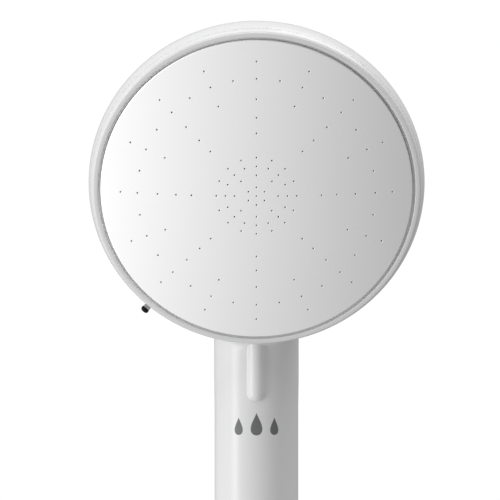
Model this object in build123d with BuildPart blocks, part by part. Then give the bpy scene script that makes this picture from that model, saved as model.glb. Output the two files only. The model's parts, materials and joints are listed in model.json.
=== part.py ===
from build123d import *
import math
import os

# A hand shower with a 120 mm micro-jet head, a silver-ion cartridge in its handle
# and a side lever that turns the spray selector. Millimetres and degrees.
# +Z runs up the handle, the spray face looks towards -Y, and the origin is the
# centre of the threaded inlet's end face.

# Head
face_lean = 19.4            # the spray face leans forward and looks down by this much
apex_y = -49.0              # where the middle of the face stands
apex_z = 188.0
head_r = 60.0
head_depth = 36.0           # from the middle of the face to the back of the bowl
widest_depth = 13.2
shoulder_r = 58.7
shoulder_depth = 19.8
crown_r = 42.0              # the back of the bowl is one flat dome out to here
crown_curve_r = 246.0
rim_inner_r = 56.5
rim_outer_r = 58.2
rim_depth = 6.6
ledge_depth = 7.9           # floor of the shadow gap round the face
bore_r = 55.6
bore_depth = 17.0
wall = 2.5

# Spray face
face_r = 55.5
face_curve_r = 243.0
face_thick = 2.0
skirt_inner_r = 53.0
skirt_depth = 13.0
jet_r = 0.28

# Handle and neck
handle_r = 15.35
handle_bore_r = 12.85
handle_base = 14.0
clip_high = 112.0           # straight up to here, where a holder may grip it
neck_r = 15.5               # it swells to this by the bend, and keeps it round the neck
bend_r = 100.0
neck_depth = 30.0           # the neck lies this deep, parallel to the face
neck_end = 4.0              # it ends this far above the middle of the head
neck_fillet = 2.0
foot_round = 1.0
rib_r = 3.5
rib_forward = 14.05         # the rib's own axis, in front of the handle's
rib_low = 117.5

# Water way
pipe_r = 5.5
pipe_bore_r = 4.2
pipe_depth = 34.0
pipe_low = 97.5
pipe_end = 20.5             # the pipe stops this far below the middle of the head

# Selector
rotor_r = 28.0
rotor_front = 18.9
rotor_back = 25.0
lever_angle = 128.8         # clockwise from the right, seen from the front
lever_sweep = 60.0
detent_angle = 325.0
detent_steps = (0.0, 30.0, 60.0)
slot_angle = 220.0
inner_port_r = 12.0
outer_port_r = 23.5
socket_r = 7.6
post_ring_r = 40.0
post_angle = 27.0
stud_ring_r = 33.0
stud_angles = (0.0, 112.0, 248.0)

lean = math.radians(face_lean)
apex = Vector(0, apex_y, apex_z)
back_dir = Vector(0, math.cos(lean), math.sin(lean))
up_dir = Vector(0, -math.sin(lean), math.cos(lean))
spray_axis = Axis(apex, back_dir)
turning_plane = Plane(origin=apex, x_dir=(1, 0, 0), z_dir=up_dir)   # x: radius, y: depth

os.makedirs("parts", exist_ok=True)


def head_plane(depth):
    """A plane parallel to the face; x points right and y down, seen from the front."""
    return Plane(origin=apex + back_dir * depth, x_dir=(1, 0, 0), z_dir=back_dir)


def head_point(across, up, depth):
    """A point of the head, from the middle of the face."""
    return apex + Vector(1, 0, 0) * across + up_dir * up + back_dir * depth


def polar(radius, angle):
    """A point of a head plane, its angle clockwise from the right."""
    turn = math.radians(angle)
    return (radius * math.cos(turn), radius * math.sin(turn))


def radial_plane(angle, radius, depth):
    """A plane across a radius of the head, facing outwards."""
    x, y = polar(1, angle)
    outward = Vector(1, 0, 0) * x - up_dir * y
    return Plane(
        origin=apex + outward * radius + back_dir * depth, x_dir=back_dir, z_dir=outward
    )


def sag(radius, curve_r):
    """How far a sphere has dropped behind its pole at this radius."""
    return curve_r - math.sqrt(curve_r**2 - radius**2)


def bend_start(depth):
    """The height at which an axis starts to bend, to end at this depth in the head."""
    forward = -bend_r * (1 - math.cos(lean)) - apex_y
    rise = (depth - forward * math.cos(lean)) / math.sin(lean)
    return apex_z - bend_r * math.sin(lean) + rise


def bend_point(start_z, forward, turned):
    """A point on the bend, forward of the axis and this many degrees round."""
    radius = bend_r - forward
    turn = math.radians(turned)
    return Vector(0, -bend_r + radius * math.cos(turn), start_z + radius * math.sin(turn))


def bent_axis(low_z, depth, top_up):
    """Up the handle, round the bend and on behind the face."""
    start_z = bend_start(depth)
    with BuildLine() as axis_line:
        Line(Vector(0, 0, low_z), bend_point(start_z, 0, 0))
        ThreePointArc(
            bend_point(start_z, 0, 0),
            bend_point(start_z, 0, face_lean / 2),
            bend_point(start_z, 0, face_lean),
        )
        Line(bend_point(start_z, 0, face_lean), head_point(0, top_up, depth))
    return axis_line.wires()[0]


# ---- body_shell: head bowl, neck, handle and front rib in one moulding ----
def back_dome(radius, inset):
    return head_depth - inset - sag(radius, crown_curve_r - inset)


neck_axis = bent_axis(handle_base, neck_depth, neck_end)
neck_tip = head_point(0, neck_end, neck_depth)
neck_start = bend_start(neck_depth)
slot_half = 2.5             # degrees the lever's slot runs past the lever each way
slot_depths = (19.2, 22.5)

with BuildPart() as body_shell:
    with BuildSketch(turning_plane):
        with BuildLine():
            land = Line((rim_inner_r, rim_depth), (rim_outer_r, rim_depth + 0.2))
            flare = ThreePointArc(
                land @ 1, (head_r, widest_depth), (shoulder_r, shoulder_depth)
            )
            crown = ThreePointArc(
                (crown_r, back_dome(crown_r, 0)),
                (crown_r / 2, back_dome(crown_r / 2, 0)),
                (0, head_depth),
            )
            Spline(flare @ 1, crown @ 0, tangents=(flare % 1, crown % 0))
            Polyline(crown @ 1, (0, rim_depth), land @ 0)
        make_face()
    revolve(axis=spray_axis)
    with BuildSketch(Plane.XY.offset(handle_base)):
        Circle(handle_r)
    extrude(amount=clip_high - handle_base)
    with Locations((0, 0, clip_high)):
        Cone(
            handle_r,
            neck_r,
            neck_start - clip_high,
            align=(Align.CENTER, Align.CENTER, Align.MIN),
        )
    with BuildSketch(Plane.XY.offset(neck_start)):
        Circle(neck_r)
    sweep(path=Wire(neck_axis.edges()[1:]))
    with Locations(neck_tip):
        Sphere(neck_r)
    seam = body_shell.edges().filter_by(GeomType.BSPLINE)
    tip = head_point(0, neck_end + neck_r, head_depth)
    fillet(seam + body_shell.edges().sort_by_distance(tip)[:1], neck_fillet)
    foot_edges = body_shell.edges().filter_by(GeomType.CIRCLE).group_by(Axis.Z)[0]
    fillet(foot_edges, foot_round)
    with BuildLine() as rib_axis:
        Line(Vector(0, -rib_forward, rib_low), bend_point(neck_start, rib_forward, 0))
        ThreePointArc(
            bend_point(neck_start, rib_forward, 0),
            bend_point(neck_start, rib_forward, 6),
            bend_point(neck_start, rib_forward, 12),
        )
    with BuildSketch(Plane.XY.offset(rib_low)):
        with Locations((0, -rib_forward)):
            Circle(rib_r)
    sweep(path=rib_axis.wires()[0])
    with Locations((0, -rib_forward, rib_low)):
        Sphere(rib_r)

    # the hollow of the bowl, open at the face
    with BuildSketch(turning_plane):
        with BuildLine():
            mouth = Polyline(
                (0, rim_depth - 1),
                (rim_inner_r, rim_depth - 1),
                (rim_inner_r, ledge_depth),
                (bore_r, ledge_depth),
                (bore_r, bore_depth),
            )
            dome = ThreePointArc(
                (crown_r, back_dome(crown_r, wall)),
                (crown_r / 2, back_dome(crown_r / 2, wall)),
                (0, head_depth - wall),
            )
            Spline(mouth @ 1, dome @ 0, tangents=((0, 1), dome % 0))
            Line(dome @ 1, mouth @ 0)
        make_face()
    revolve(axis=spray_axis, mode=Mode.SUBTRACT)
    with BuildSketch(Plane.XY.offset(handle_base)):
        Circle(handle_bore_r)
    sweep(path=neck_axis, mode=Mode.SUBTRACT)
    with Locations(neck_tip):
        Sphere(handle_bore_r, mode=Mode.SUBTRACT)

    # four screw posts standing on the back wall
    with BuildSketch(head_plane(16.9)):
        with PolarLocations(post_ring_r, 4, start_angle=post_angle):
            Circle(3.5)
    extrude(amount=14.0)
    with BuildSketch(head_plane(16.9)):
        with PolarLocations(post_ring_r, 4, start_angle=post_angle):
            Circle(1.5)
    extrude(amount=8.0, mode=Mode.SUBTRACT)

    # the slot that the lever sweeps along
    with BuildSketch(head_plane(slot_depths[0])):
        with BuildLine():
            start = lever_angle - 2.6 - slot_half
            span = lever_sweep + 2 * (2.6 + slot_half)
            outer = CenterArc((0, 0), 64, start, span)
            inner = CenterArc((0, 0), 50, start, span)
            Line(outer @ 0, inner @ 0)
            Line(outer @ 1, inner @ 1)
        make_face()
    extrude(amount=slot_depths[1] - slot_depths[0], mode=Mode.SUBTRACT)
body_shell.part.label = "body_shell"
export_step(body_shell.part, "parts/body_shell.step")


# ---- face_plate: domed plate with a skirt, pierced by the micro jets ----
jet_rings = (               # radius, number of jets, angle of the first
    (3.28, 6, 30.0),
    (7.72, 8, 0.0),
    (10.99, 16, 0.0),
    (14.24, 16, 0.0),
    (23.02, 8, 0.0),
    (28.53, 8, 0.0),
    (35.08, 16, 0.0),
    (42.25, 32, 0.0),
    (48.25, 16, 0.0),
)
inner_curve_r = face_curve_r - face_thick

with BuildPart() as face_plate:
    with BuildSketch(turning_plane):
        with BuildLine():
            front = ThreePointArc(
                (0, 0),
                (face_r / 2, sag(face_r / 2, face_curve_r)),
                (face_r, sag(face_r, face_curve_r)),
            )
            skirt = Polyline(
                front @ 1,
                (face_r, skirt_depth),
                (skirt_inner_r, skirt_depth),
                (skirt_inner_r, face_thick + sag(skirt_inner_r, inner_curve_r)),
            )
            inside = ThreePointArc(
                skirt @ 1,
                (skirt_inner_r / 2, face_thick + sag(skirt_inner_r / 2, inner_curve_r)),
                (0, face_thick),
            )
            Line(inside @ 1, front @ 0)
        make_face()
    revolve(axis=spray_axis)
    rounds = face_plate.edges().filter_by(GeomType.CIRCLE)
    rims = rounds.filter_by(lambda edge: abs(edge.radius - face_r) < 0.01)
    fillet(rims.sort_by(spray_axis)[0], 0.4)
    with BuildSketch(head_plane(-1)):
        Circle(jet_r)
        for ring_r, count, first in jet_rings:
            with PolarLocations(ring_r, count, start_angle=first):
                Circle(jet_r)
    extrude(amount=12, mode=Mode.SUBTRACT)
face_plate.part.label = "face_plate"
export_step(face_plate.part, "parts/face_plate.step")

# ---- spray_body: the chamber plate that the face closes, with its ports and posts ----
plate_front = 14.2
plate_back = 16.8
port_plate_back = 18.4
stud_back = 25.4
boss_back = 24.6
detent_depth = 21.9
notch_r = 1.7
spring_seat_r = 39.0
chamber_front = 8.2
chamber_r = 52.6
chamber_inner_r = 50.2
divider_front = 4.6
divider_r = 20.0
divider_inner_r = 18.0
stud_r = 3.2
port_r = 2.5
boss_middle_r = 34.3
boss_length = 11.4
boss_width = 6.5
plunger_bore_r = 1.56
plunger_bore_start = 28.4

with BuildPart() as spray_body:
    with BuildSketch(head_plane(plate_front)):
        Circle(bore_r - 0.2)
    extrude(amount=plate_back - plate_front)
    with BuildSketch(head_plane(chamber_front)):
        Circle(chamber_r)
        Circle(chamber_inner_r, mode=Mode.SUBTRACT)
    extrude(amount=plate_front - chamber_front)
    with BuildSketch(head_plane(divider_front)):
        Circle(divider_r)
        Circle(divider_inner_r, mode=Mode.SUBTRACT)
    extrude(amount=plate_front - divider_front)
    with BuildSketch(head_plane(plate_back)):
        Circle(rotor_r + 1)
    extrude(amount=port_plate_back - plate_back)
    with BuildSketch(head_plane(plate_back)):
        for angle in stud_angles:
            with Locations(polar(stud_ring_r, angle)):
                Circle(stud_r)
    extrude(amount=stud_back - plate_back)
    with BuildSketch(head_plane(plate_back)):
        with Locations(polar(boss_middle_r, detent_angle)):
            Rectangle(boss_length, boss_width, rotation=detent_angle)
    extrude(amount=boss_back - plate_back)
    with BuildSketch(head_plane(plate_front - 1)):
        with Locations(
            polar(inner_port_r, slot_angle),
            polar(inner_port_r, slot_angle + detent_steps[1]),
            polar(outer_port_r, slot_angle + detent_steps[1]),
            polar(outer_port_r, slot_angle + detent_steps[2]),
        ):
            Circle(port_r)
        with PolarLocations(post_ring_r, 4, start_angle=post_angle):
            Circle(1.7)
    extrude(amount=6, mode=Mode.SUBTRACT)
    with BuildSketch(head_plane(stud_back)):
        for angle in stud_angles:
            with Locations(polar(stud_ring_r, angle)):
                Circle(1.25)
    extrude(amount=-7, mode=Mode.SUBTRACT)
    with BuildSketch(radial_plane(detent_angle, plunger_bore_start, detent_depth)):
        Circle(plunger_bore_r)
    extrude(amount=spring_seat_r - plunger_bore_start, mode=Mode.SUBTRACT)
spray_body.part.label = "spray_body"
export_step(spray_body.part, "parts/spray_body.step")

# ---- selector_rotor: turns on the inlet spigot and carries the slot over the ports ----
ear_front = 22.1
slot_depth = 3.1
seal_width = 1.4
foot_width = 8.0
channel_middle_r = 11.7
channel_length = 29.4
channel_width = 6.2
socket_front = 20.5

with BuildPart() as selector_rotor:
    with BuildSketch(head_plane(rotor_front)):
        Circle(rotor_r)
    extrude(amount=rotor_back - rotor_front)
    with BuildSketch(head_plane(ear_front)):
        with Locations(polar(32.0, lever_angle)):
            RectangleRounded(15.0, foot_width, 2.0, rotation=lever_angle)
    extrude(amount=rotor_back - ear_front)
    with BuildSketch(head_plane(socket_front)):
        Circle(socket_r)
    extrude(amount=rotor_back - socket_front, mode=Mode.SUBTRACT)
    with BuildSketch(head_plane(rotor_front)):
        with Locations(polar(channel_middle_r, slot_angle)):
            SlotOverall(channel_length, channel_width, rotation=slot_angle)
    extrude(amount=slot_depth, mode=Mode.SUBTRACT)
    with BuildSketch(head_plane(rotor_front)):
        with Locations(polar(channel_middle_r, slot_angle)):
            SlotOverall(
                channel_length + 2 * seal_width,
                channel_width + 2 * seal_width,
                rotation=slot_angle,
            )
    extrude(amount=0.8, mode=Mode.SUBTRACT)
    with BuildSketch(head_plane(rotor_front)):
        for step in detent_steps:
            with Locations(polar(rotor_r + 0.9, detent_angle - step)):
                Circle(notch_r)
    extrude(amount=rotor_back - rotor_front, mode=Mode.SUBTRACT)
    with BuildSketch(head_plane(ear_front)):
        with Locations(polar(32.2, lever_angle), polar(36.4, lever_angle)):
            Circle(0.9)
    extrude(amount=2.4, mode=Mode.SUBTRACT)
selector_rotor.part.label = "selector_rotor"
export_step(selector_rotor.part, "parts/selector_rotor.step")

with BuildPart() as rotor_seal:
    with BuildSketch(head_plane(port_plate_back + 0.1)):
        with Locations(polar(channel_middle_r, slot_angle)):
            SlotOverall(
                channel_length + 2 * seal_width,
                channel_width + 2 * seal_width,
                rotation=slot_angle,
            )
            SlotOverall(channel_length, channel_width, rotation=slot_angle, mode=Mode.SUBTRACT)
    extrude(amount=rotor_front + 0.8 - port_plate_back - 0.1)
rotor_seal.part.label = "rotor_seal"
export_step(rotor_seal.part, "parts/rotor_seal.step")

# ---- inlet_elbow: brings the water from the neck to the rotor's centre ----
spigot_r = 7.5
spigot_front = 20.8
elbow_front = 25.5
elbow_back = 27.9
elbow_r = 7.8
hub_r = 6.8
hub_back = 40.4
elbow_low = 32.0            # its mouth is this far below the middle of the head
gland_r = 6.3
gland_up = 27.0
flange_r = 11.0
spoke_width = 6.4
spigot_groove = (22.0, 1.6, 6.4)  # front depth, width, radius of its floor
elbow_bore_r = 5.0

with BuildPart() as inlet_elbow:
    with BuildSketch(head_plane(elbow_front)):
        Circle(flange_r)
        for angle in stud_angles:
            with BuildLine():
                Line((0, 0), polar(stud_ring_r, angle))
            trace(line_width=spoke_width)
            with Locations(polar(stud_ring_r, angle)):
                Circle(stud_r)
    extrude(amount=elbow_back - elbow_front)
    with BuildSketch(head_plane(elbow_back)):
        Circle(hub_r)
    extrude(amount=hub_back - elbow_back)
    with BuildSketch(Plane(origin=head_point(0, 0, pipe_depth), x_dir=(1, 0, 0), z_dir=-up_dir)):
        Circle(elbow_r)
    extrude(amount=elbow_low)
    with BuildSketch(head_plane(spigot_front)):
        Circle(spigot_r)
    extrude(amount=elbow_front - spigot_front)
    with BuildSketch(head_plane(spigot_groove[0])):
        Circle(spigot_r + 0.2)
        Circle(spigot_groove[2], mode=Mode.SUBTRACT)
    extrude(amount=spigot_groove[1], mode=Mode.SUBTRACT)
    with BuildSketch(head_plane(spigot_front)):
        Circle(elbow_bore_r)
    extrude(amount=pipe_depth - spigot_front, mode=Mode.SUBTRACT)
    with BuildSketch(Plane(origin=head_point(0, 5, pipe_depth), x_dir=(1, 0, 0), z_dir=-up_dir)):
        Circle(elbow_bore_r)
    extrude(amount=pipe_end + 4.5, mode=Mode.SUBTRACT)
    with BuildSketch(
        Plane(origin=head_point(0, -pipe_end + 0.5, pipe_depth), x_dir=(1, 0, 0), z_dir=-up_dir)
    ):
        Circle(pipe_r + 0.05)
    extrude(amount=elbow_low, mode=Mode.SUBTRACT)
    with BuildSketch(
        Plane(origin=head_point(0, -gland_up, pipe_depth), x_dir=(1, 0, 0), z_dir=-up_dir)
    ):
        Circle(gland_r)
    extrude(amount=elbow_low, mode=Mode.SUBTRACT)
    with BuildSketch(head_plane(elbow_front)):
        for angle in stud_angles:
            with Locations(polar(stud_ring_r, angle)):
                Circle(1.35)
    extrude(amount=elbow_back - elbow_front, mode=Mode.SUBTRACT)
inlet_elbow.part.label = "inlet_elbow"
export_step(inlet_elbow.part, "parts/inlet_elbow.step")

# ---- water_tube: from the cartridge up the neck into the elbow ----
pipe_axis = bent_axis(pipe_low, pipe_depth, -pipe_end)
with BuildPart() as water_tube:
    with BuildSketch(Plane.XY.offset(pipe_low)):
        Circle(pipe_r)
        Circle(pipe_bore_r, mode=Mode.SUBTRACT)
    sweep(path=pipe_axis)
water_tube.part.label = "water_tube"
export_step(water_tube.part, "parts/water_tube.step")

# ---- selector_lever and its cap ----
arm_front = 19.6
arm_width = 5.0
arm_end = 61.9
stem_width = 2.2
cap_start = 63.6
cap_end = 65.55
cap_width = 2.9
cap_front = 19.4
cap_back = 22.4
tongue = 1.2
arm_start = 36.0            # the arm starts inside its wider foot
foot_middle_r = 33.95
foot_length = 10.5
arm_middle = (arm_front + ear_front) / 2

with BuildPart() as selector_lever:
    with BuildSketch(head_plane(arm_front)):
        with Locations(polar(foot_middle_r, lever_angle)):
            RectangleRounded(foot_length, foot_width, 2.0, rotation=lever_angle)
        with Locations(polar((arm_start + arm_end) / 2, lever_angle)):
            Rectangle(arm_end - arm_start, arm_width, rotation=lever_angle)
    extrude(amount=ear_front - arm_front)
    with BuildSketch(radial_plane(lever_angle, arm_end, arm_middle)):
        Rectangle(stem_width, stem_width)
    extrude(amount=cap_start - arm_end)
    with BuildSketch(radial_plane(lever_angle, cap_start, arm_middle)):
        Rectangle(tongue, tongue)
    extrude(amount=tongue)
    with BuildSketch(head_plane(arm_front)):
        with Locations(polar(32.2, lever_angle), polar(36.4, lever_angle)):
            Circle(0.9)
    extrude(amount=ear_front - arm_front, mode=Mode.SUBTRACT)
selector_lever.part.label = "selector_lever"
export_step(selector_lever.part, "parts/selector_lever.step")

with BuildPart() as lever_cap:
    with BuildSketch(head_plane(cap_front)):
        with Locations(polar((cap_start + cap_end) / 2, lever_angle)):
            Rectangle(cap_end - cap_start, cap_width, rotation=lever_angle)
    extrude(amount=cap_back - cap_front)
    fillet(lever_cap.edges(), 0.6)
    with BuildSketch(radial_plane(lever_angle, cap_start, arm_middle)):
        Rectangle(tongue, tongue)
    extrude(amount=tongue, mode=Mode.SUBTRACT)
lever_cap.part.label = "lever_cap"
export_step(lever_cap.part, "parts/lever_cap.step")

# ---- detent: a sprung plunger that clicks into the rotor's notches ----
plunger_r = 1.5
plunger_tip = rotor_r + 0.15  # shown lifted clear of the rim; it drops 0.8 mm into a notch
plunger_back = 33.4

with BuildPart() as detent_plunger:
    with BuildSketch(radial_plane(detent_angle, plunger_tip + plunger_r, detent_depth)):
        Circle(plunger_r)
    extrude(amount=plunger_back - plunger_tip - plunger_r)
    with Locations(radial_plane(detent_angle, plunger_tip + plunger_r, detent_depth)):
        Sphere(plunger_r)
detent_plunger.part.label = "detent_plunger"
export_step(detent_plunger.part, "parts/detent_plunger.step")

spring_wire_r = 0.18
spring_r = 1.2
with BuildPart() as detent_spring:
    foot = radial_plane(detent_angle, plunger_back + 0.25, detent_depth)
    with BuildLine():
        coil = Helix(
            pitch=0.82,
            height=spring_seat_r - plunger_back - 0.5,
            radius=spring_r,
            center=foot.origin,
            direction=foot.z_dir,
        )
    with BuildSketch(Plane(origin=coil @ 0, z_dir=coil % 0)):
        Circle(spring_wire_r)
    sweep(is_frenet=True)
detent_spring.part.label = "detent_spring"
export_step(detent_spring.part, "parts/detent_spring.step")

# ---- screws: pan heads with a cross recess, each kind one group ----
post_places = [polar(post_ring_r, post_angle + 90 * turn) for turn in range(4)]
stud_places = [polar(stud_ring_r, angle) for angle in stud_angles]
lever_places = [polar(32.2, lever_angle), polar(36.4, lever_angle)]
washer_thick = 0.6

# name, places, depth under the head, direction in, head radius, height, shank radius, length
screw_sets = (
    ("chassis_screws", post_places, plate_front - washer_thick, 1, 2.8, 1.9, 1.5, 10.0),
    ("elbow_screws", stud_places, elbow_back, -1, 2.3, 1.6, 1.25, 8.5),
    ("lever_screws", lever_places, arm_front, 1, 1.6, 1.0, 0.9, 4.6),
)
for label, places, seat, inward, pan_r, pan_height, shank_r, shank_length in screw_sets:
    with BuildPart() as screws:
        with BuildSketch(head_plane(seat)):
            with Locations(*places):
                Circle(pan_r)
        extrude(amount=-inward * pan_height)
        with BuildSketch(head_plane(seat)):
            with Locations(*places):
                Circle(shank_r)
        extrude(amount=inward * shank_length)
        with BuildSketch(head_plane(seat - inward * pan_height)):
            with Locations(*places):
                Rectangle(pan_r * 0.3, pan_r * 1.1)
                Rectangle(pan_r * 1.1, pan_r * 0.3)
        extrude(amount=inward * pan_height * 0.5, mode=Mode.SUBTRACT)
    screws.part.label = label
    export_step(screws.part, f"parts/{label}.step")

with BuildPart() as screw_washers:
    with BuildSketch(head_plane(plate_front - washer_thick)):
        with Locations(*post_places):
            Circle(3.0)
            Circle(1.5, mode=Mode.SUBTRACT)
    extrude(amount=washer_thick)
screw_washers.part.label = "screw_washers"
export_step(screw_washers.part, "parts/screw_washers.step")

# ---- flat seals of the spray chambers ----
# name, front depth, thickness, inner radius, outer radius
flat_seals = (
    ("face_seal", skirt_depth + 0.05, plate_front - skirt_depth - 0.05, 53.2, 55.3),
    ("divider_seal", 3.0, 1.6, 18.0, 20.0),
)
for label, front_depth, thickness, seal_inner_r, seal_outer_r in flat_seals:
    with BuildPart() as seal:
        with BuildSketch(head_plane(front_depth)):
            Circle(seal_outer_r)
            Circle(seal_inner_r, mode=Mode.SUBTRACT)
        extrude(amount=thickness)
    seal.part.label = label
    export_step(seal.part, f"parts/{label}.step")

# ---- inlet_nipple: G 1/2 male end, shoulder and the plug that closes the handle ----
thread_r = 10.4775          # G 1/2: 20.955 mm over the crests, 14 threads to the inch
thread_root_r = 9.3155
thread_pitch = 1.814
thread_crest = 0.45
thread_flank = 0.605
thread_start = 0.4
thread_count = 6
nipple_bore_r = 6.0
shoulder_low = 12.0
nipple_shoulder_r = 14.6
plug_r = 12.8
plug_top = 30.0
screen_seat = 20.0
screen_seat_r = 8.5
groove_low = 24.2

with BuildPart() as inlet_nipple:
    with BuildSketch(Plane.XZ):
        first_flank_r = thread_r - (thread_r - thread_root_r) * thread_start / thread_flank
        outline = [(nipple_bore_r, 0), (first_flank_r, 0)]
        for turn in range(thread_count):
            crest_low = thread_start + turn * thread_pitch
            if turn:
                outline.append((thread_root_r, crest_low - thread_flank))
            outline.append((thread_r, crest_low))
            outline.append((thread_r, crest_low + thread_crest))
            outline.append((thread_root_r, crest_low + thread_crest + thread_flank))
        outline += [
            (thread_root_r, shoulder_low),
            (nipple_shoulder_r, shoulder_low),
            (nipple_shoulder_r, handle_base),
            (plug_r, handle_base),
            (plug_r, groove_low),
            (11.6, groove_low),
            (11.6, groove_low + 1.8),
            (plug_r, groove_low + 1.8),
            (plug_r, plug_top),
            (screen_seat_r, plug_top),
            (screen_seat_r, screen_seat),
            (nipple_bore_r, screen_seat),
        ]
        with BuildLine():
            Polyline(*outline, close=True)
        make_face()
    revolve(axis=Axis.Z)
inlet_nipple.part.label = "inlet_nipple"
export_step(inlet_nipple.part, "parts/inlet_nipple.step")

# ---- what sits in the nipple: the dirt screen and the flow regulator ----
with BuildPart() as inlet_screen:
    with BuildSketch(Plane.XY.offset(screen_seat)):
        Circle(screen_seat_r - 0.1)
        with HexLocations(0.75, 7, 7):
            Circle(0.45, mode=Mode.SUBTRACT)
    extrude(amount=0.8)
inlet_screen.part.label = "inlet_screen"
export_step(inlet_screen.part, "parts/inlet_screen.step")

with BuildPart() as flow_regulator:
    with BuildSketch(Plane.XY.offset(22.0)):
        Circle(screen_seat_r - 0.1)
        with PolarLocations(5.2, 6):
            Circle(1.3, mode=Mode.SUBTRACT)
    extrude(amount=3.0)
    with BuildSketch(Plane.XY.offset(25.0)):
        Circle(3.0)
    extrude(amount=1.6)
    with BuildSketch(Plane.XY.offset(20.9)):
        Circle(screen_seat_r - 0.1)
        Circle(7.4, mode=Mode.SUBTRACT)
    extrude(amount=1.1)
flow_regulator.part.label = "flow_regulator"
export_step(flow_regulator.part, "parts/flow_regulator.step")

# ---- silver-ion cartridge ----
cage_low = 38.0
cage_high = 92.0
cage_r = 12.1
cage_bore_r = 11.0
window_width = 3.0
window_height = 20.0
window_rows = (52.0, 78.0)
bead_r = 2.9
bead_pitch = 5.95
bead_layers = 8
socket_low = 97.3
cartridge_top = 106.0

with BuildPart() as cartridge_cage:
    with BuildSketch(Plane.XY.offset(cage_low)):
        Circle(cage_r)
        Circle(cage_bore_r, mode=Mode.SUBTRACT)
    extrude(amount=cage_high - cage_low)
    for turn in range(4):
        with BuildSketch(Plane.XZ.rotated((0, 0, 45 * turn))):
            with Locations(*[(0, middle) for middle in window_rows]):
                SlotOverall(window_height, window_width, rotation=90)
        extrude(amount=cage_r + 1, both=True, mode=Mode.SUBTRACT)
cartridge_cage.part.label = "cartridge_cage"
export_step(cartridge_cage.part, "parts/cartridge_cage.step")

with BuildPart() as cartridge_base:
    with BuildSketch(Plane.XY.offset(plug_top)):
        Circle(cage_r)
        Circle(9.6, mode=Mode.SUBTRACT)
    extrude(amount=4.5)
    with BuildSketch(Plane.XY.offset(plug_top + 4.5)):
        Circle(cage_r)
        Circle(1.2, mode=Mode.SUBTRACT)
        with PolarLocations(4.2, 6):
            Circle(1.2, mode=Mode.SUBTRACT)
        with PolarLocations(7.9, 12):
            Circle(1.2, mode=Mode.SUBTRACT)
    extrude(amount=cage_low - plug_top - 4.5)
cartridge_base.part.label = "cartridge_base"
export_step(cartridge_base.part, "parts/cartridge_base.step")

with BuildPart() as cartridge_head:
    with BuildSketch(Plane.XY.offset(cage_high)):
        Circle(cage_r)
    extrude(amount=7.5)
    with BuildSketch(Plane.XY.offset(cage_high + 7.5)):
        Circle(8.4)
    extrude(amount=cartridge_top - cage_high - 7.5)
    with BuildSketch(Plane.XY.offset(cage_high)):
        Circle(9.0)
    extrude(amount=2.4, mode=Mode.SUBTRACT)
    with BuildSketch(Plane.XY.offset(cage_high)):
        Circle(pipe_bore_r)
    extrude(amount=cartridge_top - cage_high, mode=Mode.SUBTRACT)
    with BuildSketch(Plane.XY.offset(socket_low)):
        Circle(pipe_r + 0.05)
    extrude(amount=cartridge_top - socket_low, mode=Mode.SUBTRACT)
    with BuildSketch(Plane.XY.offset(cartridge_top - 4.0)):
        Circle(gland_r)
    extrude(amount=4.0, mode=Mode.SUBTRACT)
    with BuildSketch(Plane.XY.offset(95.4)):
        Circle(cage_r + 1)
        Circle(11.0, mode=Mode.SUBTRACT)
    extrude(amount=1.9, mode=Mode.SUBTRACT)
cartridge_head.part.label = "cartridge_head"
export_step(cartridge_head.part, "parts/cartridge_head.step")

with BuildPart() as silver_beads:
    for layer in range(bead_layers):
        height = cage_low + 0.8 + bead_r + layer * bead_pitch
        with Locations((0, 0, height)):
            Sphere(bead_r)
        with Locations(Location((0, 0, height), (0, 0, 1), 25.7 * layer)):
            with PolarLocations(7.4, 7):
                Sphere(bead_r)
silver_beads.part.label = "silver_beads"
export_step(silver_beads.part, "parts/silver_beads.step")

for label, low in (("lower_bead_screen", cage_low), ("upper_bead_screen", cage_high - 0.7)):
    with BuildPart() as bead_screen:
        with BuildSketch(Plane.XY.offset(low)):
            Circle(cage_bore_r - 0.1)
            with HexLocations(0.85, 8, 8):
                Circle(0.5, mode=Mode.SUBTRACT)
        extrude(amount=0.7)
    bead_screen.part.label = label
    export_step(bead_screen.part, f"parts/{label}.step")

# ---- O-rings ----
elbow_gland = Plane(origin=head_point(0, -gland_up - 0.8, pipe_depth), z_dir=up_dir)
# name, plane through the middle, radius of the ring, radius of its cord
o_rings = (
    ("spigot_o_ring", head_plane(22.8), 6.95, 0.55),
    ("upper_tube_o_ring", elbow_gland, 5.9, 0.39),
    ("lower_tube_o_ring", Plane.XY.offset(cartridge_top - 3.2), 5.9, 0.39),
    ("cartridge_o_ring", Plane.XY.offset(96.35), 11.9, 0.9),
    ("nipple_o_ring", Plane.XY.offset(groove_low + 0.9), 12.2, 0.6),
)
for label, middle, ring_r, cord_r in o_rings:
    with BuildPart(middle) as o_ring:
        Torus(ring_r, cord_r)
    o_ring.part.label = label
    export_step(o_ring.part, f"parts/{label}.step")
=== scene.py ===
import json
import math
import bmesh
import bpy
import numpy as np
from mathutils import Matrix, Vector
from mathutils.geometry import delaunay_2d_cdt


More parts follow.
